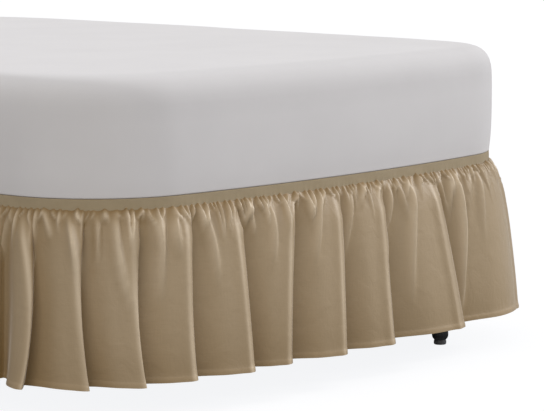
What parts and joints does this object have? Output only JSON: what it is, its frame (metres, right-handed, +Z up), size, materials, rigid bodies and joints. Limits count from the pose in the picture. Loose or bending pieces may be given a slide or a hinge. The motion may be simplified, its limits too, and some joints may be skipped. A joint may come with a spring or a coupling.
{
  "type": "gathered bed skirt fitted on a queen bed",
  "caption": "Gathered ruffle on an elastic band round a box spring, hanging in uneven folds on three sides, with a plain mattress and a steel frame on legs.",
  "frame": {"origin": "floor level, at the middle of the footprint; the bed's own middle is 34 mm behind it, because the ruffle hangs at the foot end and not at the head", "axes": "+Z up, X across the bed's width, +Y towards the head end; the foot end faces -Y"},
  "size_m": [1.6784, 2.1153, 0.7166],
  "materials": {
    "ruffle_cloth": "brushed microfibre, taupe",
    "knitted_elastic": "cloth-covered elastic, taupe",
    "mattress_cover": "smooth white knit",
    "box_spring_ticking": "off-white woven ticking",
    "frame_steel": "black powder coat",
    "glide_plastic": "moulded black plastic"
  },
  "bodies": {
    "root": {"ruffle": "ruffle_cloth", "elastic_band": "knitted_elastic", "mattress": "mattress_cover", "box_spring": "box_spring_ticking", "side_rail_left": "frame_steel", "side_rail_right": "frame_steel", "cross_rail_foot": "frame_steel", "cross_rail_middle": "frame_steel", "cross_rail_head": "frame_steel", "leg_right_foot": "frame_steel", "leg_right_middle": "frame_steel", "leg_right_head": "frame_steel", "leg_left_foot": "frame_steel", "leg_left_middle": "frame_steel", "leg_left_head": "frame_steel", "glide_right_foot": "glide_plastic", "glide_right_middle": "glide_plastic", "glide_right_head": "glide_plastic", "glide_left_foot": "glide_plastic", "glide_left_middle": "glide_plastic", "glide_left_head": "glide_plastic"}
  },
  "joints": []
}
